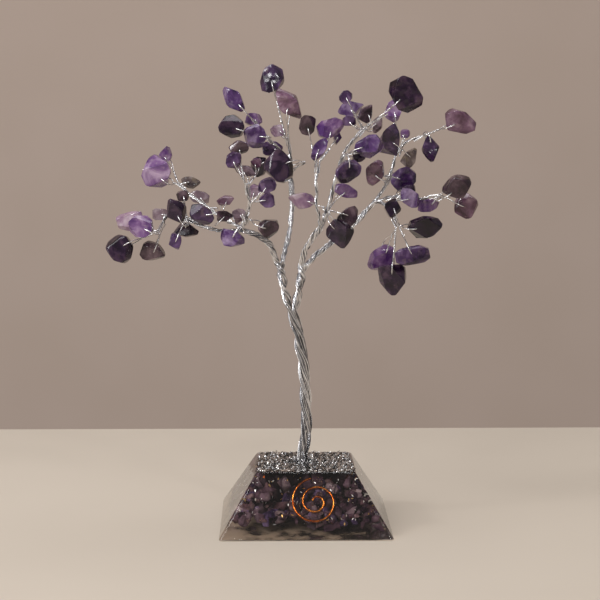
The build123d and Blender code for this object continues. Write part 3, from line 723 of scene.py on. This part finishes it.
# Resin block
bm = bmesh.new()
bmesh.ops.create_cube(bm, size=1.0)
for v in bm.verts:
    half = (BASE_TOP_WIDTH if v.co.z > 0 else BASE_WIDTH) / 2
    v.co = Vector((half if v.co.x > 0 else -half, half if v.co.y > 0 else -half, BASE_HEIGHT if v.co.z > 0 else 0.0))
bmesh.ops.bevel(bm, geom=bm.edges[:], offset=BASE_EDGE_ROUND, offset_type="OFFSET", affect="EDGES",
                segments=3, profile=0.5, material=-1, clamp_overlap=True)
for face in bm.faces:
    face.smooth = face.calc_area() < FLAT_AREA
    face.material_index = 1 if face.normal.z < -0.99 else 0
piece("resin_block", bm, "stand", "clear_resin", [RESIN, UNDERSIDE], "resin_base")

# Chips cast in the resin
rng = Random(31)
cad = merged("resin_chips")
bm = bmesh.new()
for k, part in enumerate(solids(cad)):
    tone = cast_tone(rng, middle([v.co for v in part]).z)
    tumbled(bm, [v.co.copy() for v in part], CAST_ROUND, CAST_WEAR, k, tone)
cad.free()

# More chips near the faces and on the bottom
more = [(inside(rng, *zone), reach, low) for count, *zone, reach, low in NEAR_CHIPS for _ in range(count)]
for _ in range(SETTLED_CHIPS):
    place = Vector((rng.uniform(-3, 25) * MM, rng.uniform(-25, 25) * MM, rng.uniform(2.4, 4.4) * MM))
    more.append((place, SETTLED_REACH, SETTLED_FLOOR))
for k, (place, reach, low) in enumerate(more):
    if low == SETTLED_FLOOR:
        tilts = [rng.uniform(-SETTLED_TILT, SETTLED_TILT) for _ in range(2)]
        turn = Euler((*tilts, rng.uniform(0, TURN))).to_matrix()
    else:
        turn = any_turn(rng)
    size = Vector([r * rng.uniform(0.65, 1.0) * MM for r in reach])
    points = []
    for _ in range(CHIP_POINTS):
        way = Vector([rng.gauss(0, 1) for _ in range(3)]).normalized()
        points.append(cast_in(place + turn @ (way * size), low))
    tumbled(bm, points, SMALL_ROUND, SMALL_WEAR, k, cast_tone(rng, place.z), passes=0)

# Crumbs between the chips, in the corners, and packed behind so that no light passes straight through
crumbs = [(inside(rng, *zone), 1.0) for count, *zone in NEAR_CRUMBS for _ in range(count)]
for k in range(CORNER_CRUMBS):
    z = rng.uniform(4.8, 13) * MM
    corner = [block_half(z) - rng.uniform(3.0, 6.5) * MM for _ in range(2)]
    crumbs.append((Matrix.Rotation(pi / 2 * k, 3, "Z") @ Vector((*corner, z)), 1.0))
for _ in range(BACK_CRUMBS):
    z = rng.uniform(5.4, 18.8) * MM
    reach = block_half(z) - BACK_WALL
    crumbs.append((Vector((rng.uniform(-reach, reach), rng.uniform(-reach, reach), z)), BACK_SCALE))
for place, scale in crumbs:
    size = Matrix.Diagonal([rng.uniform(0.7, 1.8) * scale * MM for _ in range(3)]).to_4x4()
    spot = Matrix.Translation(place) @ any_turn(rng).to_4x4() @ size
    crumb = bmesh.new()
    bmesh.ops.create_icosphere(crumb, subdivisions=1, radius=1.0, matrix=spot)
    tone = cast_tone(rng, place.z)
    for v in crumb.verts:
        v.co += Vector([rng.uniform(-CRUMB_JITTER, CRUMB_JITTER) * MM for _ in range(3)])
    for face in crumb.faces:
        face.material_index = tone
    join(bm, crumb)
    crumb.free()
piece("cast_chips", bm, "stand", "amethyst", CAST_STONE, "resin_chips")

# Leaf flakes cast near the faces
rng = Random(43)
bm = bmesh.new()
for k in range(FLAKES):
    low, high, depth, stretch, metals = FLAKE_UNDER if k < FLAKES_UNDER else FLAKE_FRONT
    place = inside(rng, low, high, FLAKE_WALL, depth)
    spot = Matrix.Translation(place) @ any_turn(rng).to_4x4() @ Matrix.Diagonal(stretch)
    flake = bmesh.ops.create_circle(bm, cap_ends=True, segments=rng.choice((3, 4, 5)),
                                    radius=rng.uniform(0.15, 0.55) * MM, matrix=spot)
    metal = rng.choice(metals)
    for v in flake["verts"]:
        for face in v.link_faces:
            face.material_index = metal
piece("leaf_flakes", bm, "stand", "copper_wire", [GILT, FLAKE, COPPER])

# Copper spiral
wires("copper_coil", [(spiral_line(), False)], SPIRAL_WIRE, "stand", "copper_spiral", materials=(COPPER,),
      slot="copper_wire", sides=3)

# Shavings: a rough bed with curls of turned metal heaped on it
rng = Random(19)
bm = bmesh.new()
bmesh.ops.create_grid(bm, x_segments=BED_CELLS, y_segments=BED_CELLS, size=BED_HALF,
                      matrix=Matrix.Translation((0, 0, BASE_HEIGHT)))
for v in bm.verts:
    edge = max(abs(v.co.x), abs(v.co.y)) / BED_HALF
    v.co.z += (BED_LEAST if edge > 0.98 else rng.uniform(BED_LEAST, 0.45)) * MM
    v.co.x *= bed_taper(v.co.y)
curl = bmesh.new()
for k in range(CURLS):
    x = rng.uniform(-1, 1) * (BED_HALF + BED_INSET)
    y = rng.uniform(-1, 1) * (BED_HALF + BED_INSET)
    edge = max(abs(x), abs(y)) / BED_HALF
    rise = rng.uniform(-0.25, 0.1 if edge > 0.9 else 0.4) - 0.1 * max(0, y / BED_HALF)
    place = Vector((x * bed_taper(y), y, BASE_HEIGHT + rise * MM))
    if k < HEAPED_CURLS:
        turn = rng.uniform(0, TURN)
        reach = rng.uniform(2.0, 5.5)
        place = Vector((foot.x + cos(turn) * reach * MM, foot.y + sin(turn) * reach * MM,
                        BASE_HEIGHT + rng.uniform(0, 1.5 - reach / 4.5) * MM))
    turn = any_turn(rng)
    radius = rng.uniform(0.25, 0.65) * MM
    width = rng.uniform(0.13, 0.32) * MM
    a = curl.verts.new(place + turn @ Vector((radius, 0, -width / 2)))
    b = curl.verts.new(place + turn @ Vector((radius, 0, width / 2)))
    strip = curl.edges.new((a, b))
    bmesh.ops.spin(curl, geom=[a, b, strip], cent=place, axis=turn @ Vector((0, 0, 1)),
                   angle=rng.uniform(1.6, 4.6), steps=CURL_STEPS,
                   dvec=turn @ Vector((0, 0, rng.uniform(-0.12, 0.12) * MM)), use_merge=False)
    join(bm, curl)
    curl.clear()
curl.free()
for face in bm.faces:
    face.smooth = True
for v in bm.verts:
    v.co.z = max(v.co.z, BASE_HEIGHT - BED_SUNK)
piece("shaving_curls", bm, "stand", "metal_shavings", [SHAVINGS], "metal_shavings")

# Floor and backdrop
bm = bmesh.new()
bmesh.ops.create_grid(bm, x_segments=1, y_segments=1, size=FLOOR_HALF, matrix=Matrix.Translation(FLOOR_PLACE))
floor = shown("floor", bm, [matt_board("pale_board", "#CCC1B4", "#C8BDB0")])
bm = bmesh.new()
bmesh.ops.create_grid(bm, x_segments=1, y_segments=1, size=BACKDROP_HALF,
                      matrix=Matrix.Translation(BACKDROP_PLACE) @ Matrix.Rotation(radians(90), 4, "X"))
backdrop = shown("backdrop", bm, [matt_board("grey_beige_board", "#C4B2A7", "#C0AEA2")])

# Light: a large soft key from the upper left, a weak low fill from the left, a soft lamp above and behind,
# small lamps for the glints, and an even surround
for name, (place, size, power) in LAMPS.items():
    lamp = bpy.data.lights.new(name, "AREA")
    lamp.size = size
    lamp.energy = power
    obj = bpy.data.objects.new(name, lamp)
    obj.location = place
    obj.rotation_euler = (LAMP_TARGET - Vector(place)).to_track_quat("-Z", "Y").to_euler()
    bpy.context.scene.collection.objects.link(obj)
world = bpy.data.worlds.new("studio")
world.use_nodes = True
surround = world.node_tree.nodes["Background"]
surround.inputs["Color"].default_value = linear("#E6E0DA")
surround.inputs["Strength"].default_value = SURROUND_STRENGTH
bpy.context.scene.world = world
bpy.context.scene.view_settings.view_transform = "Standard"

# Camera
lens = bpy.data.cameras.new("camera")
lens.lens = LENS_MM
lens.sensor_width = SENSOR_MM
camera = bpy.data.objects.new("camera", lens)
camera.location = CAMERA_PLACE
camera.rotation_euler = CAMERA_TURN
bpy.context.scene.collection.objects.link(camera)
bpy.context.scene.camera = camera
